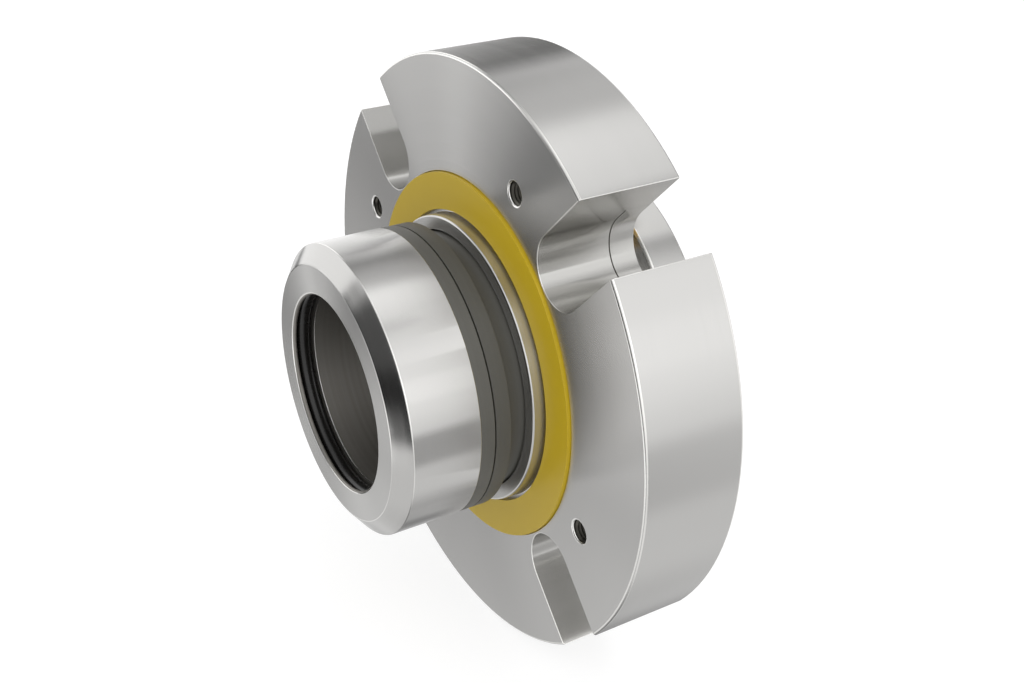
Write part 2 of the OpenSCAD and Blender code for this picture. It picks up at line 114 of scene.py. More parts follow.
# %% [markdown]
# ## Camera
# The camera stands where the photograph's camera stood: to the right of the seal's front, looking down at
# it, with the picture a hair out of level. Its place and lens were found outside Blender, by fitting the
# outlines of the seal's circles to those in the photograph, which is surer than turning a camera by eye.

# %% Camera at the photograph's viewing angle
VIEW_AZIMUTH = radians(59.04)
VIEW_ELEVATION = radians(29.0)
VIEW_ROLL = radians(0.4907)
CAMERA_PLACE = Vector((235.251, -129.563, 152.600)) * MM
LENS_MM = 46.515
NEAREST_SEEN = 10 * MM

look = -Vector((
    sin(VIEW_AZIMUTH) * cos(VIEW_ELEVATION),
    -cos(VIEW_AZIMUTH) * cos(VIEW_ELEVATION),
    sin(VIEW_ELEVATION),
))
camera_data = bpy.data.cameras.new("camera")
camera_data.lens = LENS_MM
camera_data.clip_start = NEAREST_SEEN
camera = bpy.data.objects.new("camera", camera_data)
level = look.to_track_quat("-Z", "Y").to_matrix().to_4x4()
camera.matrix_world = Matrix.Translation(CAMERA_PLACE) @ level @ Matrix.Rotation(VIEW_ROLL, 4, "Z")
bpy.context.scene.collection.objects.link(camera)
bpy.context.scene.camera = camera
bpy.context.scene.view_settings.view_transform = "Standard"
print("camera looks along", tuple(round(value, 3) for value in look))


# %% [markdown]
# ## Colours and nodes
# Colours are written as sRGB hex, as a colour picker shows them, and one function turns them to the linear
# values that Blender's sockets take. One more function adds a node with its settings and links.

# %% Helpers for every material
def linear(code):
    """An sRGB hex colour as linear red, green, blue and alpha. The curve starts straight, near black."""
    parts = [int(code[place:place + 2], 16) / 255 for place in (1, 3, 5)]
    return [part / 12.92 if part <= 0.04045 else ((part + 0.055) / 1.055) ** 2.4 for part in parts] + [1.0]


def toned(code, share):
    """A colour made darker or lighter by a share of itself, as linear values."""
    return [min(1.0, part * share) for part in linear(code)[:3]] + [1.0]


def set_inputs(tree, node, inputs):
    """Sets each of a node's inputs to a value, or links it where it is given another node's output."""
    for name, value in inputs.items():
        if isinstance(value, bpy.types.NodeSocket):
            tree.links.new(value, node.inputs[name])
        else:
            node.inputs[name].default_value = value


def add_node(tree, kind, inputs=None, **settings):
    """Adds a node with its settings, and sets or links its inputs."""
    node = tree.nodes.new(kind)
    for name, value in settings.items():
        setattr(node, name, value)
    set_inputs(tree, node, inputs or {})
    return node


print("mid grey #808080 is", round(linear("#808080")[0], 3), "in linear light")


# %% [markdown]
# ## Studio
# Polished steel shows its surroundings more than its own colour, so the light is a studio of soft cards
# painted on the world: a wide bright one on the right, a smaller one on the left, and black flags in front
# that give the metal its dark bands. A card is placed by its azimuth (0 in front of the seal, 90 to its
# right) and elevation. Mirror rays see the studio as it is painted. Matt pieces are lit by the same studio
# a little brighter, so that their colours come out about as written. Where the camera looks past the seal
# it sees white paper. Area lamps could stand round the seal instead, but steel would mirror their hard
# edges, and a painted card's edge can be as soft as the photograph's.

# %% The cards
# Each card: azimuth, elevation, half width, half height, width of its soft edge (degrees), brightness
CARDS = {
    "floor, far": (-2, -83, 180, 13, 27, 0.19),
    "ceiling": (0, 85, 180, 26, 29, 0.78),
    "ceiling, right": (122, 44, 85, 48, 32, 0.02),
    "ceiling, back": (167, 66, 47, 21, 17, 1.41),
    "softbox, right": (88, 25, 86, 40, 42, 1.21),
    "softbox, right, centre": (91, 19, 14, 8, 6, 1.74),
    "wall, front": (-13, 8, 34, 12, 8, 0.07),
    "softbox, left": (-78, 8, 39, 26, 4, 1.20),
    "softbox, left, near": (-54, -9, 7, 11, 6, 2.70),
    "flag, front": (3, -10, 26, 16, 9, 0.0),
    "flag, front, upper": (-8, 19, 18, 12, 9, 0.08),
    "flag, far left": (-120, 9, 6, 21, 5, 0.0),
    "flag, upper left": (-95, 56, 28, 16, 11, 0.20),
    "flag, upper back": (157, 41, 8, 14, 3, 0.0),
    "flag, low right": (109, -26, 9, 12, 9, 0.21),
    "flag, low left": (-83, -22, 11, 10, 4, 0.0),
    "flag, low front": (-46, -19, 16, 16, 21, 0.0),
    "card, low front": (-21, -24, 26, 9, 15, 1.50),
    "floor, back left": (-120, -66, 26, 17, 26, 0.27),
}
ROOM_BRIGHTNESS = 0.81  # of the walls between the cards
SOFT_LIGHT = 1.3  # how much brighter the studio is for matt surfaces
PAPER_WHITE = 1.0

world = bpy.data.worlds.new("studio")
world.use_nodes = True
studio = world.node_tree
studio.nodes.clear()
direction = add_node(studio, "ShaderNodeTexCoord").outputs["Generated"]
height = add_node(studio, "ShaderNodeSeparateXYZ", {0: direction}).outputs["Z"]
elevation = add_node(studio, "ShaderNodeMath", {0: height}, operation="ARCSINE").outputs[0]
print(len(CARDS), "cards in the studio")


# %% Paint a card on the world
def soft_window(angle, half, soft):
    """1 within half an angle's width of zero and 0 outside it, with a soft edge. Angles in radians."""
    size = add_node(studio, "ShaderNodeMath", {0: angle}, operation="ABSOLUTE").outputs[0]
    inputs = {"Value": size, "From Min": half + soft / 2, "From Max": half - soft / 2}
    return add_node(studio, "ShaderNodeMapRange", inputs, interpolation_type="SMOOTHSTEP").outputs[0]


def paint_card(behind, card):
    """Lays one card over the brightness behind it, and returns the new brightness."""
    card_azimuth, card_elevation, half_width, half_height, soft = (radians(value) for value in card[:5])
    turn = {"Vector": direction, "Angle": -card_azimuth}
    turned = add_node(studio, "ShaderNodeVectorRotate", turn, rotation_type="Z_AXIS").outputs[0]
    axes = add_node(studio, "ShaderNodeSeparateXYZ", {0: turned}).outputs
    ahead = add_node(studio, "ShaderNodeMath", {0: axes["Y"], 1: -1.0}, operation="MULTIPLY").outputs[0]
    across = add_node(studio, "ShaderNodeMath", {0: axes["X"], 1: ahead}, operation="ARCTAN2").outputs[0]
    above = {0: elevation, 1: card_elevation}
    up = add_node(studio, "ShaderNodeMath", above, operation="SUBTRACT").outputs[0]
    wide = soft_window(across, half_width, soft)
    tall = soft_window(up, half_height, soft)
    cover = add_node(studio, "ShaderNodeMath", {0: wide, 1: tall}, operation="MULTIPLY").outputs[0]
    return add_node(studio, "ShaderNodeMix", {0: cover, 2: behind, 3: card[5]}).outputs[0]


brightness = ROOM_BRIGHTNESS
for card in CARDS.values():
    brightness = paint_card(brightness, card)
print("studio painted with", len(studio.nodes), "nodes")


# %% What each kind of ray sees
def sees_paper(tree):
    """1 for the rays that see plain paper: the camera's own, and those that pass through something clear."""
    rays = add_node(tree, "ShaderNodeLightPath").outputs
    either = {0: rays["Is Camera Ray"], 1: rays["Is Transmission Ray"]}
    return add_node(tree, "ShaderNodeMath", either, operation="MAXIMUM").outputs[0]


brighter = {0: brightness, 1: SOFT_LIGHT}
soft_light = add_node(studio, "ShaderNodeMath", brighter, operation="MULTIPLY").outputs[0]
mirrored = add_node(studio, "ShaderNodeLightPath").outputs["Is Glossy Ray"]
lit_by = add_node(studio, "ShaderNodeMix", {0: mirrored, 2: soft_light, 3: brightness}).outputs[0]
seen = add_node(studio, "ShaderNodeMix", {0: sees_paper(studio), 2: lit_by, 3: PAPER_WHITE}).outputs[0]
light = add_node(studio, "ShaderNodeBackground", {"Color": (1, 1, 1, 1), "Strength": seen}).outputs[0]
add_node(studio, "ShaderNodeOutputWorld", {"Surface": light})
bpy.context.scene.world = world
print("the camera sees paper, mirrors see the cards, and matt surfaces the cards times", SOFT_LIGHT)


# %% [markdown]
# ## Floor
# The seal stands on its rim on a sheet of white paper. The camera sees the paper white, with a faint shadow
# under the seal: part of its brightness is its own and the rest is the studio's light on it. Mirror rays see
# the studio's painted floor instead, which is the same pale tone everywhere.

# %% A sheet of paper under the seal
FLOOR_SIZE = 6.0
FLOOR_GAP = 0.05 * MM
PAPER_GLOW = 0.72
PAPER_SHADOW_SHARE = 0.36

bpy.ops.object.select_all(action="DESELECT")
bpy.ops.mesh.primitive_plane_add(size=FLOOR_SIZE, location=(0, 0, cad_low.z - FLOOR_GAP))
floor = bpy.context.object
floor.name = "paper_floor"
floor.visible_glossy = False

paper_material = bpy.data.materials.new("white_paper")
paper_material.use_nodes = True
sheet = paper_material.node_tree
sheet.nodes.clear()
shade = [PAPER_SHADOW_SHARE] * 3 + [1.0]
lit = add_node(sheet, "ShaderNodeBsdfDiffuse", {"Color": shade}).outputs[0]
own = add_node(sheet, "ShaderNodeEmission", {"Strength": PAPER_GLOW}).outputs[0]
seen_paper = add_node(sheet, "ShaderNodeAddShader", {0: lit, 1: own}).outputs[0]
plain_paper = add_node(sheet, "ShaderNodeBsdfDiffuse", {"Color": linear("#E6E6E6")}).outputs[0]
both = {0: sees_paper(sheet), 1: plain_paper, 2: seen_paper}
paper = add_node(sheet, "ShaderNodeMixShader", both).outputs[0]
add_node(sheet, "ShaderNodeOutputMaterial", {"Surface": paper})
floor.data.materials.append(paper_material)
print("paper at z =", round(cad_low.z / MM, 2), "mm")


# %% [markdown]
# ## Finishes of the metal pieces
# A lathe leaves fine grooves round the axis. They blur a reflection across the grooves and leave it sharp
# along them, which is what draws the radial sweeps on the gland's face and the straight bands along its rim.
# Blender's anisotropy does this, if the tangent tells it which way lies across the grooves. An end mill is
# lowered in steps and leaves faint lines round a slot's outline, so a milled wall stretches its reflections
# along the cutter's axis, and gets its own finish. A picture of brushed metal could be laid over the pieces
# instead, but it would have to be bent round each of them. A noise that is read by the distance from the
# axis follows the lathe by itself.

# %% Directions on a turned or milled surface
def new_material(name):
    """An empty node material with its Principled shader: the material, its tree and the shader node."""
    material = bpy.data.materials.new(name)
    material.use_nodes = True
    tree = material.node_tree
    tree.nodes.clear()
    shader = add_node(tree, "ShaderNodeBsdfPrincipled")
    add_node(tree, "ShaderNodeOutputMaterial", {"Surface": shader.outputs[0]})
    return material, tree, shader


def across_grooves(tree, turned):
    """The direction across the tool's lines: the axis itself on a milled wall, else across the turning."""
    line = add_node(tree, "ShaderNodeCombineXYZ", {"Y": 1.0}).outputs[0]
    if turned:
        place = add_node(tree, "ShaderNodeTexCoord").outputs["Object"]
        sides = {0: line, 1: place}
        line = add_node(tree, "ShaderNodeVectorMath", sides, operation="CROSS_PRODUCT").outputs[0]
    line = add_node(tree, "ShaderNodeVectorTransform", {0: line}, vector_type="VECTOR",
                    convert_from="OBJECT", convert_to="WORLD").outputs[0]
    if not turned:
        return line
    normal = add_node(tree, "ShaderNodeNewGeometry").outputs["Normal"]
    sides = {0: normal, 1: line}
    across = add_node(tree, "ShaderNodeVectorMath", sides, operation="CROSS_PRODUCT").outputs[0]
    return add_node(tree, "ShaderNodeVectorMath", {0: across}, operation="NORMALIZE").outputs[0]


MARK_DRIFT = 0.004  # the share of its length by which a mark wanders, so that it fades in and out


def tool_marks(tree, spacing, turned):
    """Fine lines from 0 to 1: round the axis if turned, else along it, as a cutter's teeth leave them."""
    place = add_node(tree, "ShaderNodeTexCoord").outputs["Object"]
    axes = add_node(tree, "ShaderNodeSeparateXYZ", {0: place}).outputs
    lane = add_node(tree, "ShaderNodeCombineXYZ", {"X": axes["X"], "Z": axes["Z"]}).outputs[0]
    if turned:
        radius = add_node(tree, "ShaderNodeVectorMath", {0: lane}, operation="LENGTH").outputs["Value"]
        lane = add_node(tree, "ShaderNodeCombineXYZ", {"X": radius, "Y": axes["Y"]}).outputs[0]
    wander = {0: place, 1: [MARK_DRIFT] * 3, 2: lane}
    lane = add_node(tree, "ShaderNodeVectorMath", wander, operation="MULTIPLY_ADD").outputs[0]
    settings = {"Vector": lane, "Scale": 1 / spacing, "Detail": 3.0, "Roughness": 0.6}
    return add_node(tree, "ShaderNodeTexNoise", settings).outputs[0]


print("turned surfaces blur across their grooves; milled walls blur along the seal's axis")


# %% Steel, as the lathe or the mill leaves it
ROUGHNESS_SPREAD = 0.015  # how far a mark's roughness lies from the mean
MARK_TONE = 0.025  # how much darker and lighter than the mean the marks are
MARK_STRENGTH = 0.35
NOISE_LOW, NOISE_HIGH = 0.25, 0.75  # nearly all of a noise texture's values lie between these


def cut_steel(name, colour, roughness, anisotropy, spacing, relief, turned=True, tone=MARK_TONE):
    """Metal with tool marks. The spacing and the relief of the marks are in metres."""
    material, tree, shader = new_material(name)
    marks = tool_marks(tree, spacing, turned)
    tones = {0: marks, 6: toned(colour, 1 - tone), 7: toned(colour, 1 + tone)}
    mixed = add_node(tree, "ShaderNodeMix", tones, data_type="RGBA").outputs[2]
    rough = add_node(tree, "ShaderNodeMapRange", {
        "Value": marks, "From Min": NOISE_LOW, "From Max": NOISE_HIGH,
        "To Min": roughness - ROUGHNESS_SPREAD, "To Max": roughness + ROUGHNESS_SPREAD,
    }).outputs[0]
    ridges = {"Strength": MARK_STRENGTH, "Distance": relief, "Height": marks}
    bump = add_node(tree, "ShaderNodeBump", ridges).outputs[0]
    set_inputs(tree, shader, {
        "Base Color": mixed, "Metallic": 1.0, "Roughness": rough, "Anisotropic": anisotropy,
        "Tangent": across_grooves(tree, turned), "Normal": bump,
    })
    return material


print("a mark's roughness lies within", ROUGHNESS_SPREAD, "of the mean")


# %% The metals of this seal
# Real feed marks are about 0.1 mm apart, too fine to show, so they are drawn 0.3 to 0.8 mm apart.

# Turned stainless: silky, with sweeps of light from the axis outwards
turned_steel = cut_steel("turned_stainless_steel", "#CECDCB", 0.235, 1.0, 0.5 * MM, 0.001 * MM)
# Turned with a finer feed, as sealing surfaces are: the same bands, a little crisper
fine_turned_steel = cut_steel("fine_turned_stainless_steel", "#D0CFCD", 0.20, 1.0, 0.6 * MM, 0.001 * MM)
# Polished after turning: reflections blurred about the same in every direction
polished_steel = cut_steel("polished_stainless_steel", "#CBCAC8", 0.19, 0.45, 0.6 * MM, 0.001 * MM)
# Milled: bands of light stretched along the slots' walls
milled_steel = cut_steel("milled_stainless_steel", "#C4C3C0", 0.25, 1.0, 0.7 * MM, 0.002 * MM, turned=False)
# The rounds on sharp edges, which the deburring tool burnished: a brighter colour than the faces beside it, a
# painted highlight
painted_highlight_edge_steel = cut_steel("painted_highlight_steel_edge", "#F0EFEC", 0.22, 0.2, 0.5 * MM, 0.001 * MM)
# Painted shade for the tapped holes, their threads and the seam between gland and cover ring: dark and dull steel
painted_shade_steel = cut_steel("painted_shade_stainless_steel", "#5E5C56", 0.38, 0.4, 0.4 * MM, 0.002 * MM)
# Bored with a coarse feed: dull, with feed marks that show; its darker colour is painted shade in the bore and its
# groove
painted_shade_bored_steel = cut_steel("painted_shade_bored_stainless_steel", "#94918C", 0.48, 0.6, 0.8 * MM, 0.002 * MM, tone=0.2)
# Cold-forged screws: even and slightly dull
screw_steel = cut_steel("screw_stainless_steel", "#A9A9A6", 0.30, 0.2, 0.5 * MM, 0.001 * MM)
# Ground pins: bright, with a faint grain round them
pin_steel = cut_steel("ground_pin_steel", "#BDBDBA", 0.22, 0.5, 0.4 * MM, 0.001 * MM)
# Blackened spring steel of the retaining ring: a dark sheen
spring_steel = cut_steel("black_spring_steel", "#4A4946", 0.38, 0.2, 0.6 * MM, 0.002 * MM)
# Drawn wire: bright from the die
spring_wire = cut_steel("drawn_spring_wire", "#B4B3AF", 0.25, 0.2, 0.3 * MM, 0.001 * MM)
# Rolled sheet brass: warm, with the mill's faint lines
clip_brass = cut_steel("sheet_brass", "#D9B566", 0.30, 0.4, 0.6 * MM, 0.002 * MM, turned=False)
print("twelve metal finishes")


# %% [markdown]
# ## Finishes of the soft and ceramic pieces
# The gasket is a filled plastic sheet, matt and mottled. The O-rings are moulded rubber with a skin gloss.
# The running rings are ground carbon and ceramic: dark, warm grey, with a silky sheen. None of them mirrors
# the studio sharply, so a noise in the colour, the roughness or the bump is enough to show what they are.

# %% Gasket sheet
# The filler's own grain is under 0.1 mm, too fine to show, so it is drawn 0.5 mm across
GASKET_CLOUD = 14 * MM
GASKET_GRAIN = 0.5 * MM


def gasket_sheet():
    """Filled plastic sheet: matt, with a faint grain, slightly mottled by its filler."""
    material, tree, shader = new_material("filled_gasket_sheet")
    place = add_node(tree, "ShaderNodeTexCoord").outputs["Object"]
    clouds = {"Vector": place, "Scale": 1 / GASKET_CLOUD, "Detail": 3.0}
    cloud = add_node(tree, "ShaderNodeTexNoise", clouds).outputs[0]
    grains = {"Vector": place, "Scale": 1 / GASKET_GRAIN, "Detail": 2.0}
    grain = add_node(tree, "ShaderNodeTexNoise", grains).outputs[0]
    colours = {0: cloud, 6: linear("#BFA211"), 7: linear("#C6A919")}
    colour = add_node(tree, "ShaderNodeMix", colours, data_type="RGBA").outputs[2]
    pits = {"Strength": 0.2, "Distance": 0.02 * MM, "Height": grain}
    bump = add_node(tree, "ShaderNodeBump", pits).outputs[0]
    set_inputs(tree, shader, {
        "Base Color": colour, "Roughness": 0.42, "Specular IOR Level": 0.5, "Normal": bump,
    })
    return material


gasket_material = gasket_sheet()
print("gasket sheet: clouds", round(GASKET_CLOUD / MM), "mm and grain", GASKET_GRAIN / MM, "mm across")


# %% Ground rings and rubber
# The grit of a grinding wheel leaves flecks under 0.1 mm, too fine to show, so they are drawn larger
RING_TONE = 0.12  # how much darker and lighter than the mean the flecks and marks are
FLECK_SHARE = 0.35
BLOOM = 3 * MM


def ground_ring(name, colour, roughness, grit, spacing):
    """A hard ring, turned and ground: fine grit in the surface and faint marks round it."""
    material, tree, shader = new_material(name)
    place = add_node(tree, "ShaderNodeTexCoord").outputs["Object"]
    flecks = {"Vector": place, "Scale": 1 / grit, "Detail": 2.0}
    fleck = add_node(tree, "ShaderNodeTexNoise", flecks).outputs[0]
    layers = {0: FLECK_SHARE, 2: tool_marks(tree, spacing, turned=True), 3: fleck}
    grain = add_node(tree, "ShaderNodeMix", layers).outputs[0]
    tones = {0: grain, 6: toned(colour, 1 - RING_TONE), 7: toned(colour, 1 + RING_TONE)}
    mixed = add_node(tree, "ShaderNodeMix", tones, data_type="RGBA").outputs[2]
    ridges = {"Strength": 0.2, "Distance": 0.004 * MM, "Height": grain}
    bump = add_node(tree, "ShaderNodeBump", ridges).outputs[0]
    set_inputs(tree, shader, {"Base Color": mixed, "Roughness": roughness, "Normal": bump})
    return material


def moulded_rubber():
    """Black rubber with the gloss of a polished mould, duller in places where its wax has come out."""
    material, tree, shader = new_material("moulded_rubber")
    place = add_node(tree, "ShaderNodeTexCoord").outputs["Object"]
    patches = {"Vector": place, "Scale": 1 / BLOOM, "Detail": 2.0}
    bloom = add_node(tree, "ShaderNodeTexNoise", patches).outputs[0]
    gloss = {"Value": bloom, "To Min": 0.2, "To Max": 0.34}
    rough = add_node(tree, "ShaderNodeMapRange", gloss).outputs[0]
    set_inputs(tree, shader, {"Base Color": linear("#141312"), "Roughness": rough, "IOR": 1.52})
    return material


# Pressed carbon: a dark grey like pencil lead's, with a soft sheen
carbon = ground_ring("ground_carbon", "#4E4D48", 0.45, 0.4 * MM, 0.6 * MM)
# Sintered ceramic: a shade lighter, denser and a little glossier
ceramic = ground_ring("ground_ceramic", "#565550", 0.42, 0.3 * MM, 0.6 * MM)
rubber = moulded_rubber()
print("carbon, ceramic and rubber")


# %% [markdown]
# ## Pieces whose CAD shape is right
# A turned ring needs no new shape, only its surface. Its CAD mesh is left alone: a copy is merged, its sharp
# edges get the small round that a deburring tool leaves, and it takes the CAD node's place. The thin bright
# line along a machined edge comes from that round's reflection, and on the gland, the sleeve and the collar
# also from a painted highlight: their rounds get a brighter steel. A Bevel modifier rounds all the edges at
# once, where modelling them by hand would take hours. A Weighted Normal modifier after it keeps the flat
# faces beside a round flat, so their reflections stay even.

# %% Copy, round and place
SMOOTH_ANGLE = radians(30)
FLAT_ANGLE = radians(0.2)
EDGE_SEGMENTS = 2


def enter_edit(piece, kind="FACE"):
    """Selects one piece alone and opens it in edit mode with nothing selected."""
    bpy.ops.object.select_all(action="DESELECT")
    piece.select_set(True)
    bpy.context.view_layer.objects.active = piece
    bpy.ops.object.mode_set(mode="EDIT")
    bpy.ops.mesh.select_mode(type=kind)
    bpy.ops.mesh.select_all(action="DESELECT")


def finish_piece(piece, body, slot, *nodes):
    """Puts a finished piece on its body, in place of the CAD nodes it stands for. The slot it is given is not
    used.
    """
    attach(piece, body)
    if nodes:
        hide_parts(*nodes)


def copy_node(node, name):
    """A copy of a CAD node's mesh, merged, with its flat faces whole and the exporter's normals cleared."""
    source = frame["nodes"][node]
    piece = bpy.data.objects.new(name, source.data.copy())
    bpy.context.scene.collection.objects.link(piece)
    enter_edit(piece)
    bpy.ops.mesh.select_all(action="SELECT")
    bpy.ops.mesh.remove_doubles(threshold=0.001 * MM)
    bpy.ops.mesh.customdata_custom_splitnormals_clear()
    bpy.ops.mesh.dissolve_limited(angle_limit=FLAT_ANGLE)
    bpy.ops.object.mode_set(mode="OBJECT")
    return piece


def round_edges(piece, width, edge_material):
    """Rounds a piece's sharp edges. The flat faces beside them keep their own normals, so they stay flat."""
    bevel = piece.modifiers.new("edge round", "BEVEL")
    bevel.width = width
    bevel.segments = EDGE_SEGMENTS
    bevel.limit_method = "ANGLE"
    bevel.angle_limit = SMOOTH_ANGLE
    bevel.use_clamp_overlap = False
    bevel.miter_outer = "MITER_ARC"
    # A brighter steel on the rounds: a painted highlight along the edges
    if edge_material:
        piece.data.materials.append(edge_material)
        bevel.material = 1
    bpy.ops.object.modifier_apply(modifier=bevel.name)
    bpy.ops.object.shade_smooth_by_angle(angle=SMOOTH_ANGLE)
    weigh = piece.modifiers.new("large faces lead", "WEIGHTED_NORMAL")
    weigh.mode = "FACE_AREA"
    weigh.weight = 100
    weigh.keep_sharp = True
    bpy.ops.object.modifier_apply(modifier=weigh.name)


print("sharp edges get", EDGE_SEGMENTS, "facets each")


# %% Dress the CAD nodes
EDGE_ROUND = 0.12 * MM
RIM_ROUND = 0.2 * MM
CLIP_ROUND = 0.24 * MM
# The gland, the sleeve and the collar get a painted highlight on their rounds, the last entry
DRESSED = {
    "gland": (turned_steel, RIM_ROUND, painted_highlight_edge_steel),
    "gland_gasket": (gasket_material, EDGE_ROUND),
    "cover_ring": (turned_steel, EDGE_ROUND),
    "anti_rotation_pins": (pin_steel, EDGE_ROUND),
    "stationary_o_ring": (rubber, 0),
    "thrust_plate": (turned_steel, EDGE_ROUND),
    "stationary_face": (carbon, EDGE_ROUND),
    "sleeve": (fine_turned_steel, RIM_ROUND, painted_highlight_edge_steel),
    "sleeve_o_ring": (rubber, 0),
    "rotating_face": (ceramic, EDGE_ROUND),
    "rotating_o_ring": (rubber, 0),
    "drive_pins": (pin_steel, EDGE_ROUND),
    "drive_collar": (turned_steel, RIM_ROUND, painted_highlight_edge_steel),
    "retaining_ring": (spring_steel, EDGE_ROUND),
    "setting_clip_1": (clip_brass, CLIP_ROUND),
    "setting_clip_2": (clip_brass, CLIP_ROUND),
    "setting_clip_3": (clip_brass, CLIP_ROUND),
    "setting_clip_4": (clip_brass, CLIP_ROUND),
}


def dress(node, material, width, edge_material=None):
    """Stands a finished copy in a CAD node's place."""
    piece = copy_node(node, node + "_finished")
    piece.data.materials.clear()
    piece.data.materials.append(material)
    if width:
        round_edges(piece, width, edge_material)
    else:
        bpy.ops.object.shade_smooth_by_angle(angle=SMOOTH_ANGLE)
    finish_piece(piece, body_of[node], slot_of[node], node)
    return piece


finished = {node: dress(node, *finish) for node, finish in DRESSED.items()}
print(len(finished), "CAD nodes dressed")


# %% [markdown]
# A machined piece seldom has one finish all over. The stud slots are milled after turning, through the gland
# and the cover ring together. The four small holes are tapped; their walls and the seam between the two
# pieces get a dark steel as painted shade. The pilot's front edge and the chamfer on the sleeve's head are
# polished. The sleeve's bore is only bored, and its bore and groove get a darker steel as painted shade. A
# piece could be split where its finish changes, but then its edges would no longer be rounded as one. So its
# faces are picked in code, by their place and normal, and get a further material.

# %% Tests that pick a surface by its place and normal
# Each test takes a face's centre and its normal. How far the normal points along the axis, from 0 to 1,
# tells walls, rounds, chamfers and flat faces apart.
WALL_TILT = 0.3
ROUND_TILT = 0.2
CHAMFER_TILT = 0.95
FLAT_TILT = 0.99
TAPPED_R = 2.6 * MM
SEAM_REACH = 0.3 * MM
BORE_REACH = 0.3 * MM
EDGE_REACH = 0.5 * MM
GROOVE_REACH = 0.6 * MM
CLEARANCE = 1 * MM
seam_depth = depth_of("cover_ring")[0]
groove_front, groove_back = depth_of("sleeve_o_ring")
groove_r = outer_radius("sleeve_o_ring")


def from_axis(point):
    """How far a point lies from the seal's axis, or from any line along Y through the origin."""
    return hypot(point.x, point.z)


def in_tapped_hole(place, normal):
    """The wall of one of the gland's four small holes."""
    return abs(normal.y) < WALL_TILT and any(from_axis(place - pivot) < TAPPED_R for pivot in pivots)


def on_slot_wall(place, normal):
    """A wall of a stud slot: any other wall between the gasket and the rim."""
    between = gasket_r + EDGE_REACH < from_axis(place) < gland_r - CLEARANCE
    return abs(normal.y) < WALL_TILT and between and not in_tapped_hole(place, normal)


def in_seam(place, normal):
    """The rounds on both sides of the seam between the gland and the cover ring."""
    return abs(place.y - seam_depth) < SEAM_REACH and from_axis(place) > gasket_r


def on_pilot_edge(place, normal):
    """The round on the pilot's front edge."""
    at_edge = place.y < -CLEARANCE and abs(from_axis(place) - pilot_r) < EDGE_REACH
    return at_edge and ROUND_TILT < abs(normal.y) < FLAT_TILT


def on_chamfer(place, normal):
    """The chamfers outside the sleeve's bore."""
    return WALL_TILT < abs(normal.y) < CHAMFER_TILT and from_axis(place) > shaft_r + CLEARANCE


def in_bore(place, normal):
    """The sleeve's bore, and in front of its groove the chamfer at its mouth too."""
    most_tilt = CHAMFER_TILT if place.y < groove_front else WALL_TILT
    return abs(normal.y) < most_tilt and from_axis(place) < shaft_r + BORE_REACH


def in_groove(place, normal):
    """The floor and the two walls of the O-ring's groove in the bore."""
    beside_ring = groove_front - GROOVE_REACH < place.y < groove_back + GROOVE_REACH
    wall_or_floor = abs(normal.y) > FLAT_TILT or abs(normal.y) < WALL_TILT
    return beside_ring and wall_or_floor and from_axis(place) < groove_r + EDGE_REACH


print("the seam lies", round(seam_depth / MM, 1), "mm behind the gland's front")


# %% Milled slots, tapped holes, the chamfer and the bore
def give_faces(node, material, *tests):
    """Gives a material to the faces of a finished piece that a test picks by their centre and normal."""
    mesh = finished[node].data
    mesh.materials.append(material)
    picked = [face for face in mesh.polygons if any(test(face.center, face.normal) for test in tests)]
    for face in picked:
        face.material_index = len(mesh.materials) - 1
    print(node, len(picked), "faces of", material.name)


give_faces("gland", milled_steel, on_slot_wall)
# The walls of the tapped holes and the rounds at the seam get a dark steel: painted shade
give_faces("gland", painted_shade_steel, in_tapped_hole, in_seam)
give_faces("gland", polished_steel, on_pilot_edge)
give_faces("cover_ring", milled_steel, on_slot_wall)
# The cover ring's side of the seam: painted shade too
give_faces("cover_ring", painted_shade_steel, in_seam)
give_faces("sleeve", polished_steel, on_chamfer)
# The bore and its groove get a darker steel: painted shade
give_faces("sleeve", painted_shade_bored_steel, in_bore, in_groove)


# %% [markdown]
# ## Screws
# All the screws are cold-forged stainless with rolled threads. A thread is one tooth that climbs round the
# screw, so the Screw modifier carries a tooth's outline round the axis and up it. A Boolean could cut the
# groove out of a cylinder instead, but it leaves ragged faces where the thread runs out.
#
# The body inside the thread is extruded step by step from a circle, as a turner would rough it out. Each
# kind of screw is modelled once, standing on the Y axis with its head towards +Y, and then copied.

# %% A thread
STEPS_A_TURN = 24
TOOTH_SHARE = 0.46  # half a tooth's foot over the pitch, which leaves a narrow flat between two turns
TOOTH_DEPTH_SHARE = 0.61  # a standard tooth's depth over the pitch


def root_radius(thread_r, pitch):
    """The radius at the foot of a thread's teeth."""
    return thread_r - TOOTH_DEPTH_SHARE * pitch


def carry_round(piece, rise, turns):
    """Carries an outline round the Y axis, climbing as it goes."""
    climb = piece.modifiers.new("climb", "SCREW")
    climb.axis = "Y"
    climb.angle = tau * turns
    climb.screw_offset = rise
    climb.steps = round(STEPS_A_TURN * turns)
    climb.render_steps = climb.steps
    bpy.ops.object.modifier_apply(modifier=climb.name)


def close_ends(piece):
    """Merges what touches, fills the open ends and turns the faces outwards."""
    enter_edit(piece, "VERT")
    bpy.ops.mesh.select_all(action="SELECT")
    bpy.ops.mesh.remove_doubles(threshold=0.002 * MM)
    bpy.ops.mesh.select_all(action="DESELECT")
    bpy.ops.mesh.select_non_manifold()
    bpy.ops.mesh.edge_face_add()
    bpy.ops.mesh.select_all(action="SELECT")
    bpy.ops.mesh.normals_make_consistent(inside=False)
    bpy.ops.object.mode_set(mode="OBJECT")


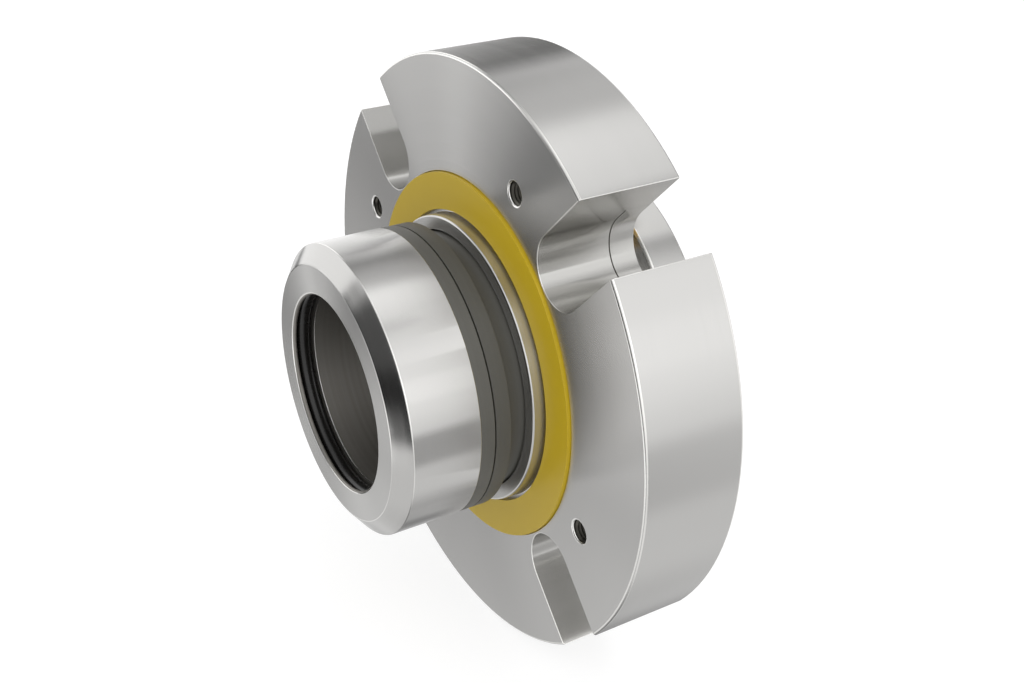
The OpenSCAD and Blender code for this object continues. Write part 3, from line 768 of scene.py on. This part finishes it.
def thread(name, root_r, crest_r, pitch, start, end):
    """One tooth that climbs along Y. A screw's tooth points outwards, and a tapped hole's tooth inwards."""
    half_foot = TOOTH_SHARE * pitch
    turns = (end - start - 2 * half_foot) / pitch
    bpy.ops.object.select_all(action="DESELECT")
    bpy.ops.mesh.primitive_circle_add(vertices=3, radius=half_foot)
    tooth = bpy.context.object
    tooth.name = name
    outline = ((root_r, -half_foot), (crest_r, 0), (root_r, half_foot))
    for corner, (radius, height) in zip(tooth.data.vertices, outline):
        corner.co = (radius, start + half_foot + height, 0)
    carry_round(tooth, turns * pitch, turns)
    close_ends(tooth)
    return tooth


print("threads have", STEPS_A_TURN, "steps a turn")


# %% The body of a screw
def turn_body(name, sides, steps):
    """Extrudes a circle through steps of (radius, place along Y), from the screw's tip to its top."""
    (radius, place), later = steps[0], steps[1:]
    bpy.ops.object.select_all(action="DESELECT")
    bpy.ops.mesh.primitive_circle_add(vertices=sides, radius=radius, fill_type="NGON",
                                      location=(0, place, 0), rotation=(pi / 2, 0, 0))
    bpy.ops.object.transform_apply(location=True, rotation=True, scale=True)
    body = bpy.context.object
    body.name = name
    enter_edit(body)
    bpy.ops.mesh.select_all(action="SELECT")
    for next_radius, next_place in later:
        bpy.ops.mesh.extrude_region_move(TRANSFORM_OT_translate={"value": (0, next_place - place, 0)})
        grow = next_radius / radius
        bpy.ops.transform.resize(value=(grow, 1, grow), center_override=(0, next_place, 0))
        radius, place = next_radius, next_place
    bpy.ops.mesh.select_all(action="SELECT")
    bpy.ops.mesh.normals_make_consistent(inside=False)
    bpy.ops.object.mode_set(mode="OBJECT")
    return body


print("screw bodies are extruded from a circle")


# %% A socket and a knurl
SLACK = 0.01 * MM  # how far a point may lie from the plane that it is picked by
RIM_SHARE = 1.15  # the socket's round rim over the hexagon's corners
MOST_RIM_SHARE = 0.97  # the same rim over the screw's flat top, at most
DRILL_CONE_SHARE = 0.2  # the drill's cone at the bottom over the socket's width


def sink_socket(body, top, top_r, across, depth):
    """Sinks a hexagon socket into a screw's flat top: rim, six walls and the drill's cone at the bottom."""
    corner_r = across / sqrt(3)
    rim_r = min(RIM_SHARE * corner_r, MOST_RIM_SHARE * top_r)
    drill_cone = DRILL_CONE_SHARE * across
    enter_edit(body)
    bpy.ops.object.mode_set(mode="OBJECT")
    for face in body.data.polygons:
        face.select = face.normal.y > FLAT_TILT and abs(face.center.y - top) < SLACK
    bpy.ops.object.mode_set(mode="EDIT")
    bpy.ops.mesh.inset(thickness=top_r - rim_r)
    bpy.ops.mesh.delete(type="ONLY_FACE")
    bpy.ops.mesh.primitive_circle_add(vertices=6, radius=corner_r,
                                      location=(0, top, 0), rotation=(pi / 2, 0, 0))
    bpy.ops.mesh.select_mode(type="EDGE")
    bpy.ops.mesh.select_all(action="DESELECT")
    bpy.ops.mesh.select_non_manifold()
    bpy.ops.mesh.bridge_edge_loops()
    bpy.ops.mesh.select_all(action="DESELECT")
    bpy.ops.mesh.select_non_manifold()
    bpy.ops.mesh.extrude_edges_move(TRANSFORM_OT_translate={"value": (0, -depth, 0)})
    bpy.ops.mesh.edge_face_add()
    bpy.ops.mesh.extrude_region_move(TRANSFORM_OT_translate={"value": (0, -drill_cone, 0)})
    bpy.ops.mesh.merge(type="CENTER")
    bpy.ops.mesh.select_all(action="SELECT")
    bpy.ops.mesh.normals_make_consistent(inside=False)
    bpy.ops.object.mode_set(mode="OBJECT")


def knurl(body, sides, radius, bottom, top, depth):
    """Pushes in every second column of a head's side, which leaves the straight knurl of a cap screw."""
    enter_edit(body, "VERT")
    bpy.ops.object.mode_set(mode="OBJECT")
    for point in body.data.vertices:
        column = round(atan2(point.co.z, point.co.x) / (tau / sides))
        on_side = bottom - SLACK < point.co.y < top + SLACK and from_axis(point.co) > radius - SLACK
        point.select = on_side and column % 2 == 1
    bpy.ops.object.mode_set(mode="EDIT")
    shrink = 1 - depth / radius
    bpy.ops.transform.resize(value=(shrink, 1, shrink), center_override=(0, (bottom + top) / 2, 0))
    bpy.ops.object.mode_set(mode="OBJECT")


print("sockets are bridged from a round rim to a hexagon")


# %% Join, copy and place
def join_pieces(parts):
    """Joins pieces into the first one."""
    bpy.ops.object.select_all(action="DESELECT")
    for part in parts:
        part.select_set(True)
    bpy.context.view_layer.objects.active = parts[0]
    bpy.ops.object.join()
    return bpy.context.object


def place_copies(model, turns, material, node, stands_in=True):
    """Puts a copy of a model at each place, on a CAD node's body, and in its place if it stands in for it."""
    model.data.materials.clear()
    model.data.materials.append(material)
    for number, turn in enumerate(turns, start=1):
        piece = bpy.data.objects.new(f"{model.name}_{number}", model.data.copy())
        piece.data.transform(turn)
        bpy.context.scene.collection.objects.link(piece)
        bpy.ops.object.select_all(action="DESELECT")
        piece.select_set(True)
        bpy.context.view_layer.objects.active = piece
        bpy.ops.object.shade_smooth_by_angle(angle=SMOOTH_ANGLE)
        finish_piece(piece, body_of[node], slot_of[node], *([node] if stands_in else []))
    bpy.data.objects.remove(model)


def at_angle(angle, radius):
    """Moves a model from the axis to a place round it. An angle runs from +X towards +Z."""
    return Matrix.Translation((radius * cos(angle), 0, radius * sin(angle)))


print("each copy has its own mesh")


# %% [markdown]
# The setting clips turn on socket head cap screws with a knurled head. Their thread is 5 mm across with a
# pitch of 0.8 mm. Their tips stop inside the gland, and the rest of each tapped hole can be seen from the
# front as a dark hole with a glint of thread in it. The head is a cylinder of many sides, and pushing in
# every second column of its points knurls it, with far fewer faces than rolled ridges would take.

# %% Cap screws
TIP_SHARE = 0.8  # the tip's radius over the thread's root
TIP_LENGTH = 0.4 * MM
CORE_SHARE = 1.01  # the core stands a hair over the thread's root, so that the two meet
CLIP_THREAD_R = 2.5 * MM
CLIP_PITCH = 0.8 * MM
CLIP_ROOT_R = root_radius(CLIP_THREAD_R, CLIP_PITCH)
CAP_R = 4.25 * MM
CAP_HEIGHT = 5 * MM
CAP_EDGE = 0.35 * MM
CAP_SIDES = 72
KNURL_DEPTH = 0.13 * MM

clip_tip, cap_top = depth_of("clip_screws")
cap_bottom = cap_top - CAP_HEIGHT
cap_core_r = CORE_SHARE * CLIP_ROOT_R
cap_screw = turn_body("clip_screw", CAP_SIDES, [
    (TIP_SHARE * CLIP_ROOT_R, clip_tip),
    (cap_core_r, clip_tip + TIP_LENGTH),
    (cap_core_r, cap_bottom),
    (CAP_R, cap_bottom),
    (CAP_R, cap_top - CAP_EDGE),
    (CAP_R - CAP_EDGE, cap_top),
])
sink_socket(cap_screw, cap_top, CAP_R - CAP_EDGE, across=4 * MM, depth=2.5 * MM)
knurl(cap_screw, CAP_SIDES, CAP_R, cap_bottom, cap_top - CAP_EDGE, KNURL_DEPTH)
cap_thread = thread("clip_screw_thread", CLIP_ROOT_R, CLIP_THREAD_R, CLIP_PITCH,
                    clip_tip + TIP_LENGTH, cap_bottom)
cap_screw = join_pieces([cap_screw, cap_thread])
clip_turns = [Matrix.Translation((pivot.x, 0, pivot.z)) for pivot in pivots]
place_copies(cap_screw, clip_turns, screw_steel, "clip_screws")
print("cap screws on a circle of", round(from_axis(pivots[0]) / MM, 2), "mm")


# %% The tapped holes in front of them
TAPPED_MOUTH = 0.35 * MM
TAPPED_PLAY = 0.03 * MM
TAPPED_CREST_GAP = 0.1 * MM
TIP_GAP = 0.2 * MM

hole_thread = thread("tapped_hole", CLIP_THREAD_R + TAPPED_PLAY, CLIP_ROOT_R + TAPPED_CREST_GAP, CLIP_PITCH,
                     TAPPED_MOUTH, clip_tip - TIP_GAP)
# The threads in the holes take the same dark steel: painted shade
place_copies(hole_thread, clip_turns, painted_shade_steel, "gland", stands_in=False)
print("threads from", TAPPED_MOUTH / MM, "mm behind the gland's front")


# %% [markdown]
# The cover ring is held by countersunk screws, flush with its back. The collar's set screws are headless,
# with a cone point that bites the shaft. Their sockets lie a little below the collar's rim. Both kinds are
# made as the cap screws are, from other sizes.

# %% Countersunk screws
QUARTER_TURNS = [quarter * pi / 2 for quarter in range(4)]
COVER_THREAD_R = 2 * MM
COVER_PITCH = 0.7 * MM
COVER_ROOT_R = root_radius(COVER_THREAD_R, COVER_PITCH)
COVER_HEAD_R = 3.8 * MM
COVER_EDGE = 0.1 * MM
COVER_TOP_R = COVER_HEAD_R - 0.15 * MM
COVER_NECK = 3.4 * MM
SCREW_SIDES = 48

cover_tip, cover_top = depth_of("cover_screws")
cone_end = cover_top - (COVER_HEAD_R - COVER_THREAD_R)
cover_core_r = CORE_SHARE * COVER_ROOT_R
cover_screw = turn_body("cover_screw", SCREW_SIDES, [
    (TIP_SHARE * COVER_ROOT_R, cover_tip),
    (cover_core_r, cover_tip + TIP_LENGTH),
    (cover_core_r, cover_top - COVER_NECK),
    (COVER_THREAD_R, cover_top - COVER_NECK),
    (COVER_THREAD_R, cone_end),
    (COVER_HEAD_R - COVER_EDGE, cover_top - COVER_EDGE),
    (COVER_TOP_R, cover_top),
])
sink_socket(cover_screw, cover_top, COVER_TOP_R, across=2.5 * MM, depth=2 * MM)
cover_thread = thread("cover_screw_thread", COVER_ROOT_R, COVER_THREAD_R, COVER_PITCH,
                      cover_tip + TIP_LENGTH, cover_top - COVER_NECK)
cover_screw = join_pieces([cover_screw, cover_thread])
cover_circle_r = outer_radius("cover_screws") - COVER_HEAD_R
cover_turns = [at_angle(turn, cover_circle_r) for turn in QUARTER_TURNS]
place_copies(cover_screw, cover_turns, screw_steel, "cover_screws")
print("countersunk screws on a circle of", round(cover_circle_r / MM, 2), "mm")


# %% Set screws
SET_THREAD_R = 3 * MM
SET_PITCH = 1 * MM
SET_ROOT_R = root_radius(SET_THREAD_R, SET_PITCH)
SET_TOP_R = SET_ROOT_R - 0.2 * MM
SET_CONE = 0.9 * MM
SET_PLAIN = 1.5 * MM  # from the tip to where the thread starts
SET_SINK = 1 * MM
SET_EDGE = 0.3 * MM
SHAFT_GAP = 0.1 * MM
SET_ANGLE = radians(22.5)

set_low, set_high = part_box("set_screws")
set_depth = (set_low.y + set_high.y) / 2
set_top = outer_radius("drive_collar") - SET_SINK
set_tip = shaft_r + SHAFT_GAP
set_core_r = CORE_SHARE * SET_ROOT_R
set_screw = turn_body("set_screw", SCREW_SIDES, [
    (SET_THREAD_R / 2, set_tip),
    (set_core_r, set_tip + SET_CONE),
    (set_core_r, set_top - SET_EDGE),
    (SET_TOP_R, set_top),
])
sink_socket(set_screw, set_top, SET_TOP_R, across=3 * MM, depth=3 * MM)
set_thread = thread("set_screw_thread", SET_ROOT_R, SET_THREAD_R, SET_PITCH,
                    set_tip + SET_PLAIN, set_top - SET_EDGE)
set_screw = join_pieces([set_screw, set_thread])
outwards = Matrix.Rotation(-pi / 2, 4, "Z")
set_turns = [
    Matrix.Translation((0, set_depth, 0)) @ Matrix.Rotation(-(SET_ANGLE + turn), 4, "Y") @ outwards
    for turn in QUARTER_TURNS
]
place_copies(set_screw, set_turns, screw_steel, "set_screws")
print("set screws at a depth of", round(set_depth / MM, 2), "mm")


# %% [markdown]
# ## Springs
# The eight springs are cold-coiled round wire. The CAD draws the wire with few sides. Here a circle is
# carried round the spring's axis by the Screw modifier three times: a closed coil, the open coils and the
# other closed coil, which then merge into one wire. A curve with a round bevel could draw the wire too,
# but each turn's points would have to be worked out first, and the modifier needs only the circle and the
# pitch. In the seal a spring flattens as the dark ring slides back; here each keeps the CAD spring's length.

# %% Coil a spring from one circle
SPRING_WIRE_R = 0.35 * MM
SPRING_COILS = 4
WIRE_SIDES = 12
WIRE_SMOOTH_ANGLE = radians(50)


def coil(piece_name, coil_r, start, rise, turns):
    """Carries a wire section round the Y axis through the origin."""
    bpy.ops.object.select_all(action="DESELECT")
    bpy.ops.mesh.primitive_circle_add(vertices=WIRE_SIDES, radius=SPRING_WIRE_R, location=(coil_r, start, 0))
    bpy.ops.object.transform_apply(location=True, rotation=True, scale=True)
    tube = bpy.context.object
    tube.name = piece_name
    carry_round(tube, rise, turns)
    return tube


def make_spring(node):
    """One round-wire spring in the CAD spring's place."""
    low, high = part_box(node)
    middle = (low + high) / 2
    coil_r = (high.x - low.x) / 2 - SPRING_WIRE_R
    wire = 2 * SPRING_WIRE_R
    free = high.y - low.y - wire
    start = low.y + SPRING_WIRE_R
    spring = join_pieces([
        coil(node + "_round", coil_r, start, wire, 1),
        coil("open coils", coil_r, start + wire, free - 2 * wire, SPRING_COILS),
        coil("end coil", coil_r, start + free - wire, wire, 1),
    ])
    close_ends(spring)
    spring.location = (middle.x, 0, middle.z)
    bpy.ops.object.transform_apply(location=True, rotation=True, scale=True)
    bpy.ops.object.shade_smooth_by_angle(angle=WIRE_SMOOTH_ANGLE)
    spring.data.materials.append(spring_wire)
    return spring


print("the wire has", WIRE_SIDES, "sides and", STEPS_A_TURN, "steps a turn")


# %% The eight springs
spring_nodes = sorted(node for node in frame["nodes"] if node.startswith("spring_"))

for node in spring_nodes:
    spring = make_spring(node)
    finish_piece(spring, body_of[node], slot_of[node], node)
    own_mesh(spring)
print(len(spring_nodes), "springs, each with", len(spring.data.polygons), "faces")
